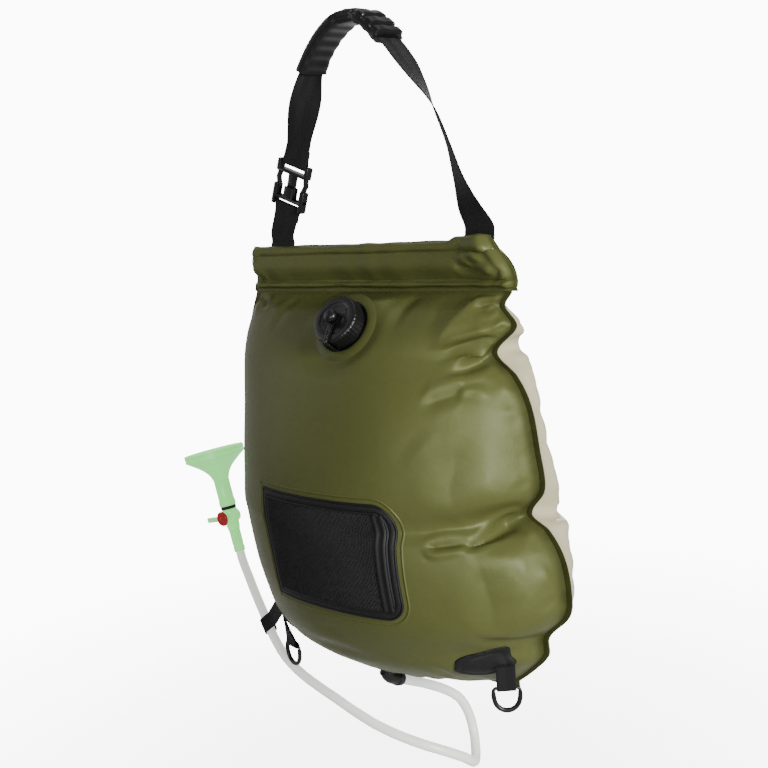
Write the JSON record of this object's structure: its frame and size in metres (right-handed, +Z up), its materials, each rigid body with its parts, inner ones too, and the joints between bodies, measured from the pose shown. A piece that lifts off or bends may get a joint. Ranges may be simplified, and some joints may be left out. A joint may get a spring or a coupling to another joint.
{
  "type": "camp shower bag",
  "caption": "Hanging camp shower: a welded water bag on a webbing carry handle, with a screw fill cap, a mesh pocket, corner rings, and a hose to a shower head with a lever tap.",
  "frame": {"origin": "middle of the flat rest under the grip, where a hook or a branch carries the bag", "axes": "+Z up, the bag's front faces -Y, +X to the right of someone who looks at the front"},
  "size_m": [0.5856, 0.2405, 0.908],
  "materials": {
    "olive_fabric": "coated woven cloth, satin",
    "cream_vinyl": "soft vinyl sheet, slight sheen",
    "black_webbing": "woven polyester webbing, matt",
    "black_plastic": "moulded, satin",
    "black_trim": "coated fabric, welded down, satin",
    "black_mesh": "knitted net, matt",
    "rubber": "moulded, matt",
    "rod_plastic": "extruded tube, satin",
    "mint_plastic": "translucent moulding, gloss",
    "red_plastic": "moulded, gloss",
    "hose_vinyl": "milky soft vinyl hose, gloss"
  },
  "bodies": {
    "handle": {"grip": "black_plastic", "strap_upper": "black_webbing", "strap_lower": "black_webbing", "buckle_female": "black_plastic", "buckle_male": "black_plastic"},
    "arm_left": {"buckle_arm_left": "black_plastic"},
    "arm_right": {"buckle_arm_right": "black_plastic"},
    "bag": {"front_panel": "olive_fabric", "back_panel": "cream_vinyl", "hem_sleeve": "olive_fabric", "support_rod": "rod_plastic", "strap_anchor_left": "black_webbing", "strap_anchor_right": "black_webbing", "valve_base": "black_plastic", "pocket_frame": "black_trim", "pocket_mesh": "black_mesh", "pocket_placket": "black_trim", "corner_patch_left": "black_trim", "corner_patch_right": "black_trim", "corner_tab_left": "black_webbing", "corner_tab_right": "black_webbing", "hose_strap": "black_webbing", "outlet_flange": "black_plastic", "outlet_elbow": "black_plastic", "hose": "hose_vinyl", "head_bell": "mint_plastic", "rose_plate": "mint_plastic", "tap_body": "mint_plastic", "tap_seal": "rubber"},
    "cap_carrier": {"cap_tether": "black_plastic"},
    "cap": {"fill_cap": "black_plastic", "cap_seal": "rubber", "cap_knob": "black_plastic"},
    "tap_handle": {"tap_lever": "mint_plastic", "tap_cap": "red_plastic"},
    "ring_left": {"d_ring_left": "black_plastic"},
    "ring_right": {"d_ring_right": "black_plastic"}
  },
  "joints": [
    {"name": "bag_swing", "type": "hinge", "parent": "handle", "child": "bag", "pos_m": [0, 0.006, -0.234], "axis": [1, 0, 0], "range_deg": [-90, 90]},
    {"name": "arm_left_press", "type": "hinge", "parent": "handle", "child": "arm_left", "pos_m": [-0.13656, 0.00501, -0.14848], "axis": [0, -1, 0], "range_deg": [0, 7], "stiffness_Nm_per_rad": 0.5},
    {"name": "arm_right_press", "type": "hinge", "parent": "handle", "child": "arm_right", "pos_m": [-0.09668, 0.00501, -0.16346], "axis": [0, 1, 0], "range_deg": [0, 7], "stiffness_Nm_per_rad": 0.5},
    {"name": "cap_lift", "type": "slide", "parent": "bag", "child": "cap_carrier", "axis": [0, -0.8192, 0.5736], "range_m": [0, 0.006]},
    {"name": "cap_turn", "type": "hinge", "parent": "cap_carrier", "child": "cap", "pos_m": [0, -0.05558, -0.328], "axis": [0, -0.8192, 0.5736], "range_deg": [0, 360]},
    {"name": "tap_turn", "type": "hinge", "parent": "bag", "child": "tap_handle", "pos_m": [-0.28703, 0, -0.60073], "axis": [0, -1, 0], "range_deg": [0, 90]},
    {"name": "ring_left_swing", "type": "hinge", "parent": "bag", "child": "ring_left", "pos_m": [-0.144, -0.046, -0.737], "axis": [0.9703, -0.2419, 0], "range_deg": [-110, 80]},
    {"name": "ring_right_swing", "type": "hinge", "parent": "bag", "child": "ring_right", "pos_m": [0.18, -0.048, -0.718], "axis": [0.788, 0.6157, 0], "range_deg": [-110, 70]}
  ],
  "couplings": [
    {"joint": "cap_lift", "follows": "cap_turn", "m_per_rad": 0.00095493},
    {"joint": "arm_right_press", "follows": "arm_left_press", "ratio": 1}
  ]
}
